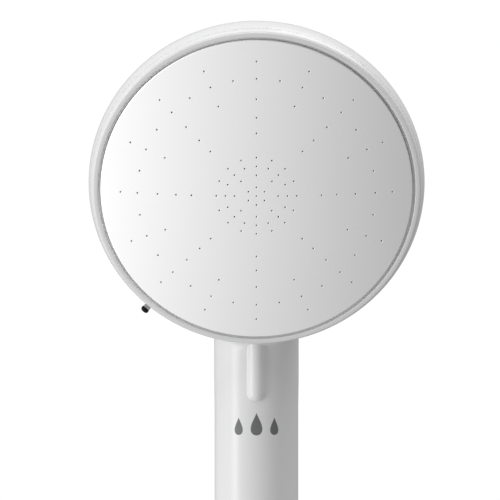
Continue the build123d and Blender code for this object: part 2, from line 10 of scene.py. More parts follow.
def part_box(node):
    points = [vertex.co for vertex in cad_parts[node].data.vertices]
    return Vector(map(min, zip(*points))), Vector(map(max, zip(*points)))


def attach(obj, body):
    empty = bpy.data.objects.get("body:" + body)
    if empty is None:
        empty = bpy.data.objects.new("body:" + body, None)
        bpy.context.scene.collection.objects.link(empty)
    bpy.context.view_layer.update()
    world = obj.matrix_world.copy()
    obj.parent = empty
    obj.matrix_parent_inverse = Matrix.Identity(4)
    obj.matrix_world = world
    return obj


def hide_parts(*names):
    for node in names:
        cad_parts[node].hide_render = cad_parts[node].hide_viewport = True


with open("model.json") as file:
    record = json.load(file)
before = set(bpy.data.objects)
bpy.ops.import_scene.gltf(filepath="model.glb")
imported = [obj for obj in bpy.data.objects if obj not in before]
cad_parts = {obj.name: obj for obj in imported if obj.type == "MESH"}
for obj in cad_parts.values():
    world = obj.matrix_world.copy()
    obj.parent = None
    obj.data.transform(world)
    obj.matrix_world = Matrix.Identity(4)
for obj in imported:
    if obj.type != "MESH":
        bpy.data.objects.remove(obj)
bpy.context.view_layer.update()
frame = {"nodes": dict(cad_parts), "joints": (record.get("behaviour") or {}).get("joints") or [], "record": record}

# ---------------------------------------------------------------------------
# Driving dimensions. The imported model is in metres; the mesh code below works
# in millimetres, in the same frame, and scales by MM as it makes each piece.
# ---------------------------------------------------------------------------
MM = 0.001
record = frame["record"]
joints = {joint["name"]: joint for joint in frame["joints"]}
mounts = {mount["name"]: mount for mount in record["mounts"]}
shell_low, shell_high = (np.array(corner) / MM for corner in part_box("body_shell"))
face_low, face_high = (np.array(corner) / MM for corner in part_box("face_plate"))

ROTOR_DEPTH = 22.0          # the joint's place on its axis is this far behind the face
back_dir = np.array(joints["lever_swing"]["axis"])      # from the face into the head
apex = np.array(joints["lever_swing"]["pos_m"]) / MM - back_dir * ROTOR_DEPTH
lean = math.atan2(back_dir[2], back_dir[1])
up_dir = np.array([0.0, -math.sin(lean), math.cos(lean)])
side_dir = np.array([1.0, 0.0, 0.0])

head_r = (shell_high[0] - shell_low[0]) / 2
face_r = (face_high[0] - face_low[0]) / 2
handle_r = mounts["handle_clip"]["dims"]["r_mm"]
handle_base = shell_low[2]
thread_r = mounts["hose_thread"]["dims"]["r_mm"]

# the bowl of the head: radius and depth behind the middle of the face
head_depth = 36.0
widest_depth = 13.2
shoulder = (58.7, 19.8)
crown_r = 42.0
crown_curve_r = 246.0
rim_outer = (58.2, 6.8)
rim_inner = (56.5, 6.6)
ledge_depth = 7.9                           # floor of the groove outside the spray face
bore_r = 55.6
bore_depth = 17.0
wall = 2.5
# the bent neck
bend_r = 100.0
neck_depth = 30.0
neck_end = 4.0
rib_r = 3.5
rib_forward = 14.05
rib_low = 117.5
# the spray face
face_curve_r = 243.0
face_thick = 2.0
skirt_depth = 13.0
skirt_inner_r = 53.0
jet_r = 0.28


def head_points(radius, angle, depth):
    """Points of the head; the angle runs clockwise from the right, seen from the front."""
    radius, angle, depth = np.broadcast_arrays(radius, angle, depth)
    across = radius * np.cos(angle)
    down = radius * np.sin(angle)
    return (
        apex
        + across[..., None] * side_dir
        - down[..., None] * up_dir
        + depth[..., None] * back_dir
    )


def sag(radius, curve_r):
    """How far a sphere has dropped behind its pole at this radius."""
    return curve_r - np.sqrt(curve_r**2 - np.asarray(radius, dtype=float) ** 2)


# ---------------------------------------------------------------------------
# Small helpers for meshes and profiles
# ---------------------------------------------------------------------------
def grid_faces(rows, columns, wrap=True):
    """Quads between neighbouring rows of a grid; wrap closes each row into a ring."""
    last = columns if wrap else columns - 1
    return [
        (
            row * columns + column,
            row * columns + (column + 1) % columns,
            (row + 1) * columns + (column + 1) % columns,
            (row + 1) * columns + column,
        )
        for row in range(rows - 1)
        for column in range(last)
    ]


def arc(center, radius, start, end, count):
    """Points along a circle, from one angle in degrees to another."""
    turns = np.radians(np.linspace(start, end, count))
    return np.stack([center[0] + radius * np.cos(turns), center[1] + radius * np.sin(turns)], 1)


# ---------------------------------------------------------------------------
# Materials: each is procedural, in object space (metres), with a fine surface
# grain, a slow change of gloss and a trace of colour variation
# ---------------------------------------------------------------------------
def new_material(name):
    """A node material with its principled shader and object coordinates."""
    material = bpy.data.materials.new(name)
    material.use_nodes = True
    tree = material.node_tree
    shader = tree.nodes["Principled BSDF"]
    coordinates = tree.nodes.new("ShaderNodeTexCoord")
    return material, tree, shader, coordinates.outputs["Object"]


def add_noise(tree, vector, scale, detail=3.0, roughness=0.55):
    """A noise texture's single value at so many cycles a metre."""
    noise = tree.nodes.new("ShaderNodeTexNoise")
    noise.inputs["Scale"].default_value = scale
    noise.inputs["Detail"].default_value = detail
    noise.inputs["Roughness"].default_value = roughness
    tree.links.new(vector, noise.inputs["Vector"])
    return noise.outputs["Fac"]


def add_range(tree, value, low, high, start=0.3, end=0.7):
    """Map a value from start..end onto low..high."""
    mapped = tree.nodes.new("ShaderNodeMapRange")
    mapped.inputs["From Min"].default_value = start
    mapped.inputs["From Max"].default_value = end
    mapped.inputs["To Min"].default_value = low
    mapped.inputs["To Max"].default_value = high
    tree.links.new(value, mapped.inputs["Value"])
    return mapped.outputs["Result"]


def add_tint(tree, value, colour, spread):
    """The base colour, a touch lighter and darker from place to place."""
    mix = tree.nodes.new("ShaderNodeMix")
    mix.data_type = "RGBA"
    mix.inputs["A"].default_value = (*[c * (1 - spread) for c in colour], 1)
    mix.inputs["B"].default_value = (*[min(1.0, c * (1 + spread)) for c in colour], 1)
    tree.links.new(value, mix.inputs["Factor"])
    return mix.outputs["Result"]


def add_bump(tree, value, height, shader):
    """Raise the surface by this many metres where the value is 1."""
    bump = tree.nodes.new("ShaderNodeBump")
    bump.inputs["Strength"].default_value = 1.0
    bump.inputs["Distance"].default_value = height
    tree.links.new(value, bump.inputs["Height"])
    tree.links.new(bump.outputs["Normal"], shader.inputs["Normal"])


def moulded(name, colour, gloss, grain, grain_height, spread=0.012, ior=1.5):
    """Moulded plastic, rubber or ceramic: gloss is the lowest and highest roughness."""
    material, tree, shader, place = new_material(name)
    fine = add_noise(tree, place, grain)
    slow = add_noise(tree, place, 38.0, detail=2.0)
    shade = add_tint(tree, add_range(tree, slow, 0.0, 1.0), colour, spread)
    tree.links.new(shade, shader.inputs["Base Color"])
    tree.links.new(add_range(tree, slow, *gloss), shader.inputs["Roughness"])
    add_bump(tree, fine, grain_height, shader)
    shader.inputs["IOR"].default_value = ior
    return material


def metal(name, colour, gloss, grain):
    """Drawn or machined metal with fine streaks."""
    material, tree, shader, place = new_material(name)
    stretch = tree.nodes.new("ShaderNodeMapping")
    stretch.inputs["Scale"].default_value = (1.0, 1.0, 0.08)
    tree.links.new(place, stretch.inputs["Vector"])
    streaks = add_noise(tree, stretch.outputs["Vector"], grain)
    tree.links.new(add_tint(tree, streaks, colour, 0.06), shader.inputs["Base Color"])
    tree.links.new(add_range(tree, streaks, *gloss), shader.inputs["Roughness"])
    add_bump(tree, streaks, 2e-6, shader)
    shader.inputs["Metallic"].default_value = 1.0
    return material


WHITE = (0.83, 0.83, 0.835)
materials = {
    "shell_white": moulded("shell_white", WHITE, (0.23, 0.26), 2600.0, 3e-6, 0.004),
    "face_white": moulded("face_white", WHITE, (0.30, 0.33), 2600.0, 4e-6, 0.003),
    "lever_grey": moulded("lever_grey", (0.33, 0.34, 0.35), (0.34, 0.44), 2400.0, 6e-6),
    "cap_black": moulded("cap_black", (0.006, 0.006, 0.0065), (0.46, 0.58), 3000.0, 6e-6, ior=1.3),
    "nipple_white": moulded("nipple_white", (0.80, 0.80, 0.79), (0.28, 0.38), 2200.0, 5e-6),
    "steel": metal("steel", (0.60, 0.59, 0.57), (0.22, 0.36), 3200.0),
    "natural_pom": moulded("natural_pom", (0.78, 0.77, 0.72), (0.38, 0.48), 1800.0, 5e-6),
    "flow_blue": moulded("flow_blue", (0.03, 0.16, 0.50), (0.30, 0.40), 2000.0, 5e-6),
    "inner_grey": moulded("inner_grey", (0.42, 0.43, 0.44), (0.36, 0.48), 1900.0, 6e-6),
    "seal_rubber": moulded("seal_rubber", (0.02, 0.02, 0.021), (0.50, 0.64), 2800.0, 9e-6),
    "cartridge_blue": moulded("cartridge_blue", (0.10, 0.32, 0.60), (0.20, 0.30), 1800.0, 4e-6),
    "bead_ceramic": moulded("bead_ceramic", (0.62, 0.58, 0.50), (0.55, 0.70), 5200.0, 2e-5, 0.08),
    "print_grey": moulded("print_grey", (0.165, 0.17, 0.172), (0.40, 0.50), 6000.0, 2e-6, 0.05),
}


def paint_cad_nodes():
    """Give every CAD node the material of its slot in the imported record."""
    for subpart in record["subparts"]:
        node = frame["nodes"][subpart["node"]]
        node.data.materials.clear()
        node.data.materials.append(materials[subpart["material_slot"]])


# ---------------------------------------------------------------------------
# Studio: a pale floor that fades into white, soft light mostly from the left.
# The floor and backdrop don't light the object: the softboxes and world do.
# ---------------------------------------------------------------------------
FLOOR_REACH = 1.05                          # lengths in this section are in metres
FLOOR_FADE = (0.30, 1.0)                    # where the floor starts to glow, and is full white
BACKDROP_RADIUS = 4.0
LIGHT_TARGET = Vector((0.0, -0.03, 0.165))
WHITE_GLOW = 1.02                           # emission that just reaches full white
CAMERA_PLACE = (-0.00235, -1.4168, 0.16901)
CAMERA_LENS = 278.35


def make_floor():
    """A wide pale disc that grows bright towards its edge, so no horizon shows."""
    rings, sectors = 24, 96
    angles = np.linspace(0, 2 * math.pi, sectors, endpoint=False)
    radii = FLOOR_REACH * (np.arange(1, rings + 1) / rings)
    around = np.stack([np.cos(angles), np.sin(angles)], 1)
    points = [(0.0, 0.0, 0.0)]
    points += [(r * x, r * y, 0.0) for r in radii for x, y in around]
    faces = [(0, 1 + (i + 1) % sectors, 1 + i) for i in range(sectors)]
    faces = [tuple(reversed(f)) for f in faces]
    faces += [tuple(1 + i for i in f) for f in grid_faces(rings, sectors)]
    mesh = bpy.data.meshes.new("floor")
    mesh.from_pydata(points, [], faces)
    floor = bpy.data.objects.new("floor", mesh)
    bpy.context.scene.collection.objects.link(floor)
    material, tree, shader, place = new_material("floor")
    shader.inputs["Base Color"].default_value = (0.86, 0.86, 0.86, 1)
    shader.inputs["Roughness"].default_value = 0.75
    length = tree.nodes.new("ShaderNodeVectorMath")
    length.operation = "LENGTH"
    tree.links.new(place, length.inputs[0])
    glow = add_range(tree, length.outputs["Value"], 0.0, WHITE_GLOW, *FLOOR_FADE)
    shader.inputs["Emission Color"].default_value = (1, 1, 1, 1)
    tree.links.new(glow, shader.inputs["Emission Strength"])
    add_bump(tree, add_noise(tree, place, 900.0), 1e-5, shader)
    mesh.materials.append(material)
    floor.visible_diffuse = False
    floor.visible_glossy = False
    floor.visible_shadow = False
    return floor


def make_backdrop():
    """A large white surround that only the camera sees."""
    mesh = bpy.data.meshes.new("backdrop")
    shape = bmesh.new()
    bmesh.ops.create_icosphere(shape, subdivisions=4, radius=BACKDROP_RADIUS)
    shape.to_mesh(mesh)
    shape.free()
    backdrop = bpy.data.objects.new("backdrop", mesh)
    bpy.context.scene.collection.objects.link(backdrop)
    material, _, shader, _ = new_material("backdrop")
    shader.inputs["Base Color"].default_value = (0, 0, 0, 1)
    shader.inputs["Specular IOR Level"].default_value = 0.0
    shader.inputs["Emission Color"].default_value = (1, 1, 1, 1)
    shader.inputs["Emission Strength"].default_value = WHITE_GLOW
    mesh.materials.append(material)
    for ray in ("diffuse", "glossy", "transmission", "volume_scatter", "shadow"):
        setattr(backdrop, f"visible_{ray}", False)
    return backdrop


def add_softbox(name, azimuth, elevation, distance, width, height, power):
    """An area light aimed at the head; azimuth is in degrees right of the camera."""
    turn, tilt = math.radians(azimuth), math.radians(elevation)
    offset = Vector(
        (math.sin(turn) * math.cos(tilt), -math.cos(turn) * math.cos(tilt), math.sin(tilt))
    )
    data = bpy.data.lights.new(name, "AREA")
    data.shape = "RECTANGLE"
    data.size = width
    data.size_y = height
    data.energy = power
    light = bpy.data.objects.new(name, data)
    bpy.context.scene.collection.objects.link(light)
    light.location = LIGHT_TARGET + offset * distance
    light.rotation_euler = (-offset).to_track_quat("-Z", "Y").to_euler()
    return light


def set_world(strength):
    """Even light from all round."""
    world = bpy.data.worlds.new("studio")
    bpy.context.scene.world = world
    world.use_nodes = True
    background = world.node_tree.nodes["Background"]
    background.inputs["Color"].default_value = (1, 1, 1, 1)
    background.inputs["Strength"].default_value = strength


def set_camera():
    """Level with the middle of the picture, far off, with a long lens."""
    data = bpy.data.cameras.new("camera")
    data.lens = CAMERA_LENS
    data.sensor_width = 36.0
    data.clip_end = 50.0
    camera = bpy.data.objects.new("camera", data)
    bpy.context.scene.collection.objects.link(camera)
    camera.location = CAMERA_PLACE
    camera.rotation_euler = (math.radians(90), 0, 0)
    bpy.context.scene.camera = camera


# ---------------------------------------------------------------------------
# body_shell: one smooth skin over bowl, neck, handle and rib, then the rounded
# rim, the shadow gap, the bore, the handle's foot and the lever's slot
# ---------------------------------------------------------------------------
neck_r = 15.5
clip_high = 112.0
foot_round = 1.0
handle_bore_r = 12.85
rib_fillet = 0.2
# the round between bowl and neck, wider towards the back
blend_least = 4
blend_more = 10
blend_front = 22                            # depth at which it starts to widen
blend_deepening = 12                        # and how much further back it is at its widest
rib_turn = math.radians(12)                 # how far the rib follows the neck's bend
bowl_pull = (1.3, 0.9)                      # how hard the bowl's curve holds its end directions


def bend_start(depth):
    """The height at which an axis starts to bend, to end this deep behind the face."""
    forward = -bend_r * (1 - math.cos(lean)) - apex[1]
    rise = (depth - forward * math.cos(lean)) / math.sin(lean)
    return apex[2] - bend_r * math.sin(lean) + rise


neck_start = bend_start(neck_depth)
neck_tip = apex + neck_end * up_dir + neck_depth * back_dir


def crown(radius, inset=0.0):
    """Depth of the domed back of the bowl, or of its inside, at this radius."""
    return head_depth - inset - sag(radius, crown_curve_r - inset)


def hermite(start, end, start_way, end_way, pull, count):
    """A cubic between two points that leaves and arrives in the given directions."""
    start, end = np.array(start, float), np.array(end, float)
    reach = np.linalg.norm(end - start)
    leave = np.array(start_way, float) / np.linalg.norm(start_way) * reach * pull[0]
    arrive = np.array(end_way, float) / np.linalg.norm(end_way) * reach * pull[1]
    t = np.linspace(0, 1, count)[:, None]
    return (
        (2 * t**3 - 3 * t**2 + 1) * start
        + (t**3 - 2 * t**2 + t) * leave
        + (3 * t**2 - 2 * t**3) * end
        + (t**3 - t**2) * arrive
    )


def circle_through(a, b, c):
    """Centre and radius of the circle through three points of a plane."""
    a, b, c = (np.array(p, float) for p in (a, b, c))
    rows = 2 * np.array([b - a, c - a])
    centre = np.linalg.solve(rows, [b @ b - a @ a, c @ c - a @ a])
    return centre, np.linalg.norm(a - centre)


def flare_points(count=40):
    """The side of the bowl from the rim to the shoulder, as radius and depth."""
    centre, radius = circle_through(rim_outer, (head_r, widest_depth), shoulder)
    ends = [math.atan2(p[1] - centre[1], p[0] - centre[0]) for p in (rim_outer, shoulder)]
    turns = np.linspace(*ends, count)
    return np.stack([centre[0] + radius * np.cos(turns), centre[1] + radius * np.sin(turns)], 1)


def bowl_profile():
    """Radius and depth along the outside of the bowl, from the rim to the back."""
    flare = flare_points()
    slope = crown_r / math.sqrt(crown_curve_r**2 - crown_r**2)
    end = (crown_r, crown(crown_r))
    turn = hermite(shoulder, end, flare[-1] - flare[-2], (-1, slope), bowl_pull, 60)
    radii = np.linspace(crown_r, 0, 30)
    dome = np.stack([radii, crown(radii)], 1)
    return np.concatenate([flare, turn[1:], dome[1:]])


def in_head(points):
    """Radius from the spray axis and depth behind the face."""
    local = points - apex
    across, up, depth = local[:, 0], local @ up_dir, local @ back_dir
    return np.hypot(across, up), depth, across, up


outside = bowl_profile()


def bowl_distance(points):
    """How far outside the bowl's surface each point is; negative inside."""
    radius, depth = in_head(points)[:2]
    here = np.stack([radius, depth], 1)
    start, step = outside[:-1], np.diff(outside, axis=0)
    length2 = (step**2).sum(1)
    best = np.full(len(here), np.inf)
    side = np.zeros(len(here))
    for a, s, l2 in zip(start, step, length2):
        t = np.clip(((here - a) @ s) / l2, 0, 1)
        gap = here - a - t[:, None] * s
        d2 = (gap**2).sum(1)
        nearer = d2 < best
        best = np.where(nearer, d2, best)
        side = np.where(nearer, gap @ np.array([s[1], -s[0]]), side)
    return np.sqrt(best) * np.where(side >= 0, 1, -1)


def bend_distance(points, forward, low, turned, end=None):
    """Distance from an axis: straight from low, round the bend and on to end."""
    x, y, z = points.T
    line = np.hypot(x, y + forward)
    below = np.minimum(z - low, 0)
    straight = np.where(z <= neck_start, np.hypot(line, below), np.inf)
    radius = bend_r - forward
    turn = np.clip(np.arctan2(z - neck_start, y + bend_r), 0, turned)
    arc_y = -bend_r + radius * np.cos(turn)
    arc_z = neck_start + radius * np.sin(turn)
    best = np.minimum(straight, np.sqrt(x**2 + (y - arc_y) ** 2 + (z - arc_z) ** 2))
    if end is not None:
        first = np.array(
            [0, -bend_r + radius * math.cos(turned), neck_start + radius * math.sin(turned)]
        )
        step = end - first
        t = np.clip(((points - first) @ step) / (step @ step), 0, 1)
        best = np.minimum(best, np.linalg.norm(points - first - t[:, None] * step, axis=1))
    return best


def smooth_min(a, b, reach):
    """The smaller of two distances, with the crease between them rounded."""
    blend = np.maximum(reach - np.abs(a - b), 0) / reach
    return np.minimum(a, b) - blend**2 * reach / 4


def skin_distance(points):
    """How far outside the finished skin each point is."""
    depth = in_head(points)[1]
    behind = np.clip((depth - blend_front) / blend_deepening, 0, 1)
    swell = np.clip((points[:, 2] - clip_high) / (neck_start - clip_high), 0, 1)
    tube_r = handle_r + (neck_r - handle_r) * swell
    tube = bend_distance(points, 0, 0, lean, neck_tip) - tube_r
    reach = blend_least + blend_more * behind * behind * (3 - 2 * behind)
    body = smooth_min(bowl_distance(points), tube, reach)
    rib = bend_distance(points, rib_forward, rib_low, rib_turn) - rib_r
    return smooth_min(body, rib, rib_fillet)


def skin_normals(points, step=0.02):
    """The slope of the skin's distance, which points outwards, and the distance itself."""
    here = skin_distance(points)
    slope = np.stack(
        [(skin_distance(points + step * axis) - here) / step for axis in np.eye(3)], 1
    )
    return slope, here


def lathe_mesh(profile, segments=96):
    """A closed solid from a profile that starts and ends on the spray axis."""
    angles = np.linspace(0, 2 * math.pi, segments, endpoint=False)
    rows = [head_points(r, angles, d) for r, d in profile[1:-1]]
    points = [apex + back_dir * profile[0][1], *np.concatenate(rows)]
    points.append(apex + back_dir * profile[-1][1])
    faces = [tuple(1 + i for i in f) for f in grid_faces(len(rows), segments)]
    last, tail = len(points) - 1, len(points) - 1 - segments
    faces += [(0, 1 + (i + 1) % segments, 1 + i) for i in range(segments)]
    faces += [(last, tail + i, tail + (i + 1) % segments) for i in range(segments)]
    return np.array(points), faces


def tube_mesh(centres, ways, radii, segments=48):
    """A closed tube along a path in the x = 0 plane, with flat ends."""
    angles = np.linspace(0, 2 * math.pi, segments, endpoint=False)
    points = []
    for centre, way, radius in zip(centres, ways, radii):
        across = np.cross(way, side_dir)
        points += [
            centre + radius * (math.cos(a) * side_dir + math.sin(a) * across) for a in angles
        ]
    faces = grid_faces(len(centres), segments)
    faces.append(tuple(reversed(range(segments))))
    faces.append(tuple(len(points) - segments + i for i in range(segments)))
    return np.array(points), faces


def handle_path(low, forward, turned, end=None):
    """Points and directions up the handle's axis and round its bend."""
    centres = [np.array([0, -forward, z]) for z in np.linspace(low, neck_start, 40)]
    ways = [np.array([0, 0, 1.0])] * 40
    radius = bend_r - forward
    for turn in np.linspace(0, turned, 14)[1:]:
        centres.append(
            np.array([0, -bend_r + radius * math.cos(turn), neck_start + radius * math.sin(turn)])
        )
        ways.append(np.array([0, -math.sin(turn), math.cos(turn)]))
    if end is not None:
        first = centres[-1]
        for share in np.linspace(0, 1, 12)[1:]:
            centres.append(first + share * (end - first))
            ways.append(ways[-1])
    return centres, ways


def round_end(centres, ways, radius):
    """Add a rounded tip to a path; returns centres, ways and radii."""
    radii = [radius] * len(centres)
    tip, way = centres[-1], ways[-1]
    for turn in np.radians(np.linspace(10, 86, 9)):
        centres.append(tip + way * radius * math.sin(turn))
        ways.append(way)
        radii.append(radius * math.cos(turn))
    return centres, ways, radii


def voxel_union(parts, voxel):
    """One even skin of quads round several closed meshes."""
    points, faces = [], []
    for part_points, part_faces in parts:
        start = len(points)
        points += [tuple(p) for p in part_points * MM]
        faces += [tuple(start + i for i in f) for f in part_faces]
    mesh = bpy.data.meshes.new("union")
    mesh.from_pydata(points, [], faces)
    solid = bpy.data.objects.new("union", mesh)
    bpy.context.scene.collection.objects.link(solid)
    remesh = solid.modifiers.new("remesh", "REMESH")
    remesh.mode = "VOXEL"
    remesh.voxel_size = voxel * MM
    even = bpy.data.meshes.new_from_object(
        solid.evaluated_get(bpy.context.evaluated_depsgraph_get())
    )
    bpy.data.objects.remove(solid)
    bpy.data.meshes.remove(mesh)
    return even


def mesh_points(mesh):
    """A mesh's vertices in millimetres."""
    points = np.zeros(len(mesh.vertices) * 3)
    mesh.vertices.foreach_get("co", points)
    return points.reshape(-1, 3) / MM


rib_margin = 2.2            # how far beyond the rib the finer quads reach
handle_front = 12           # the rib is further forward than this


def refine_near_rib(mesh):
    """Cut the quads round the rib in three, because its root is a tight round."""
    points = mesh_points(mesh)
    away = bend_distance(points, rib_forward, rib_low, rib_turn)
    near = (away < rib_r + rib_margin) & (points[:, 1] < -handle_front)
    shape = bmesh.new()
    shape.from_mesh(mesh)
    edges = [e for e in shape.edges if near[e.verts[0].index] and near[e.verts[1].index]]
    bmesh.ops.subdivide_edges(shape, edges=edges, cuts=2, use_grid_fill=True)
    shape.to_mesh(mesh)
    shape.free()


def make_skin(voxel):
    """The outer skin, pulled exactly onto the blended surface."""
    tube = round_end(*handle_path(0.0, 0, lean, neck_tip), neck_r)
    rib = round_end(*handle_path(rib_low - rib_r, rib_forward, rib_turn), rib_r)
    bowl = [(0, rim_outer[1]), *outside]
    skin = voxel_union([lathe_mesh(bowl), tube_mesh(*tube), tube_mesh(*rib)], voxel)
    refine_near_rib(skin)
    points = mesh_points(skin)
    for _ in range(3):
        slope, here = skin_normals(points)
        size2 = np.maximum((slope**2).sum(1), 0.2)
        points = points - np.clip(here / size2, -1.5, 1.5)[:, None] * slope
    skin.vertices.foreach_set("co", (points * MM).ravel())
    return skin


rim_cut = 9.0               # depth at which the skin ends and the rim's rings begin
foot_cut = 17.0             # height at which it ends above the handle's foot
outer_round = 0.42
inner_round = 0.22


def rim_profile():
    """From the side of the bowl round the rim, down into the shadow gap and the bore."""
    flare = flare_points(200)
    side = flare[(flare[:, 1] < rim_cut - 0.05) & (flare[:, 1] > rim_outer[1] + outer_round)][::-1]
    outer_middle = (rim_outer[0] - 0.38, rim_outer[1] + outer_round)
    inner_middle = (rim_inner[0] + inner_round, rim_inner[1] + inner_round)
    outer = arc(outer_middle, outer_round, 8, -82, 8)
    inner = arc(inner_middle, inner_round, -97, -180, 7)
    rows = [side, outer, inner]
    rows.append([(rim_inner[0], ledge_depth - 0.25), (rim_inner[0] - 0.07, ledge_depth - 0.07)])
    rows.append([(rim_inner[0] - 0.25, ledge_depth), (bore_r + 0.15, ledge_depth)])
    rows.append([(bore_r + 0.04, ledge_depth + 0.04), (bore_r, ledge_depth + 0.15)])
    rows.append([(bore_r, bore_depth - 4), (bore_r, bore_depth)])
    return np.concatenate([np.array(row, float) for row in rows])


def foot_profile():
    """From the handle's side round its foot and up inside it, as radius and height."""
    foot = arc((handle_r - foot_round, handle_base + foot_round), foot_round, 0, -90, 9)
    inside = [
        (handle_bore_r + 0.25, handle_base),
        (handle_bore_r + 0.06, handle_base + 0.06),
        (handle_bore_r, handle_base + 0.25),
        (handle_bore_r, handle_base + 40),
        (handle_bore_r, neck_start),
    ]
    return np.concatenate([[(handle_r, handle_base + 2)], foot, np.array(inside)])


def row_normals(profile):
    """Outward normals along a profile that runs with the solid on its left."""
    steps = np.diff(profile, axis=0)
    steps /= np.linalg.norm(steps, axis=1)[:, None]
    mean = np.concatenate([steps[:1], steps[:-1] + steps[1:], steps[-1:]])
    mean /= np.linalg.norm(mean, axis=1)[:, None]
    return np.stack([-mean[:, 1], mean[:, 0]], 1)


class Shape:
    """Vertices with their own normals, and faces turned to agree with them."""

    def __init__(self):
        self.points, self.normals, self.faces = [], [], []

    def add(self, points, normals, faces):
        points, normals = np.asarray(points, float), np.asarray(normals, float)
        start = sum(len(p) for p in self.points)
        self.points.append(points)
        self.normals.append(normals)
        for face in faces:
            corners = points[list(face)]
            way = np.cross(corners, np.roll(corners, -1, axis=0)).sum(0)
            agrees = way @ normals[list(face)].sum(0) >= 0
            self.faces.append(tuple(start + i for i in (face if agrees else face[::-1])))

    def add_rows(self, rows, normal_rows, wrap=True):
        """A strip of rings or lines, each a row of points."""
        rows, normal_rows = np.asarray(rows), np.asarray(normal_rows)
        faces = grid_faces(rows.shape[0], rows.shape[1], wrap)
        self.add(rows.reshape(-1, 3), normal_rows.reshape(-1, 3), faces)

    def piece(self, name, material, body, slot):
        """Make the piece, which rides on a CAD body."""
        points, normals = np.concatenate(self.points), np.concatenate(self.normals)
        normals /= np.maximum(np.linalg.norm(normals, axis=1), 1e-9)[:, None]
        mesh = bpy.data.meshes.new(name)
        mesh.from_pydata([tuple(p) for p in points * MM], [], self.faces)
        mesh.polygons.foreach_set("use_smooth", [True] * len(mesh.polygons))
        mesh.normals_split_custom_set_from_vertices([tuple(n) for n in normals])
        mesh.materials.append(materials[material])
        made = bpy.data.objects.new(name, mesh)
        bpy.context.scene.collection.objects.link(made)
        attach(made, body)
        return made


def head_rows(profile, angles, normals=None):
    """Rings of a profile of radius and depth round the spray axis, with normals."""
    normals = row_normals(profile) if normals is None else normals
    radial = np.cos(angles)[:, None] * side_dir - np.sin(angles)[:, None] * up_dir
    rows = [head_points(r, angles, d) for r, d in profile]
    ways = [n[0] * radial + n[1] * back_dir for n in normals]
    return rows, ways


def upright_rows(profile, angles, normals=None):
    """Rings of a profile of radius and height round the handle's axis."""
    normals = row_normals(profile) if normals is None else normals
    radial = np.stack([np.cos(angles), np.sin(angles), np.zeros(len(angles))], 1)
    rows = [r * radial + np.array([0, 0, z]) for r, z in profile]
    ways = [n[0] * radial + np.array([0, 0, n[1]]) for n in normals]
    return rows, ways


lever_degrees = 128.8       # the lever at rest, clockwise from the right
swing_degrees = 60
slot_spare = 5.1            # the slot runs this much further at each end
slot_from, slot_to = 19.2, 22.5
slot_start = math.radians(lever_degrees - slot_spare)
slot_end = math.radians(lever_degrees + swing_degrees + slot_spare)
head_low = 128              # every part of the head is above this height


def head_angles(points):
    """Each point's angle, clockwise from the right."""
    across, up = in_head(points)[2:]
    return np.arctan2(-up, across) % (2 * math.pi)


def faces_where(shape, test):
    """The faces whose middle passes a test, with their edges and corners."""
    middles = np.array([f.calc_center_median() for f in shape.faces]) / MM
    chosen = [f for f, keep in zip(shape.faces, test(middles)) if keep]
    edges = {e for f in chosen for e in f.edges}
    corners = {v for f in chosen for v in f.verts}
    return chosen, [*corners, *edges, *chosen]


def near_rim(points):
    """Points close enough to the rim for its cut to reach."""
    radius, depth = in_head(points)[:2]
    return (radius < 61.5) & (depth < 13.0) & (points[:, 2] > head_low)


def near_slot(points):
    """Points round the lever's slot, with a margin."""
    radius, depth = in_head(points)[:2]
    angle = head_angles(points)
    return (
        (radius > 50)
        & (depth > slot_from - 2.5)
        & (depth < slot_to + 2.5)
        & (angle > slot_start - 0.06)
        & (angle < slot_end + 0.06)
    )


def in_slot(points):
    """Points inside the opening of the slot."""
    depth, angle = in_head(points)[1], head_angles(points)
    inside = (depth > slot_from) & (depth < slot_to) & (in_head(points)[0] > 50)
    return inside & (angle > slot_start) & (angle < slot_end)


def bisect(shape, geometry, point, normal, clear_outer):
    """Cut the geometry by a plane in millimetres; may drop what lies beyond it."""
    bmesh.ops.bisect_plane(
        shape,
        geom=geometry,
        dist=1e-7,
        plane_co=Vector(np.asarray(point, float) * MM),
        plane_no=Vector(np.asarray(normal, float)),
        clear_outer=clear_outer,
    )


def trim_skin(skin, rim_depth_mm, foot_z, with_slot):
    """Open the skin at the face and the foot, and cut the lever's slot."""
    shape = bmesh.new()
    shape.from_mesh(skin)
    rim_middle = apex + back_dir * rim_depth_mm
    bisect(shape, faces_where(shape, near_rim)[1], rim_middle, -back_dir, True)
    everything = [*shape.verts, *shape.edges, *shape.faces]
    bisect(shape, everything, (0, 0, foot_z), (0, 0, -1), True)
    if with_slot:
        for depth in (slot_from, slot_to):
            geometry = faces_where(shape, near_slot)[1]
            bisect(shape, geometry, apex + back_dir * depth, back_dir, False)
        for angle in (slot_start, slot_end):
            tangent = -math.sin(angle) * side_dir - math.cos(angle) * up_dir
            bisect(shape, faces_where(shape, near_slot)[1], apex, tangent, False)
        inside = faces_where(shape, in_slot)[0]
        bmesh.ops.delete(shape, geom=inside, context="FACES")
    shape.verts.ensure_lookup_table()
    shape.verts.index_update()
    points = np.array([v.co for v in shape.verts]) / MM
    faces = [tuple(v.index for v in f.verts) for f in shape.faces]
    open_edges = [tuple(v.index for v in e.verts) for e in shape.edges if e.is_boundary]
    shape.free()
    return points, faces, open_edges


def open_ring(points, open_edges, test, angle_of):
    """The points of one open edge in order of their angle, with the angles."""
    found = np.array(sorted({i for edge in open_edges for i in edge}))
    ring = points[found]
    ring = ring[test(ring)]
    angles = angle_of(ring)
    order = np.argsort(angles)
    return ring[order], angles[order]


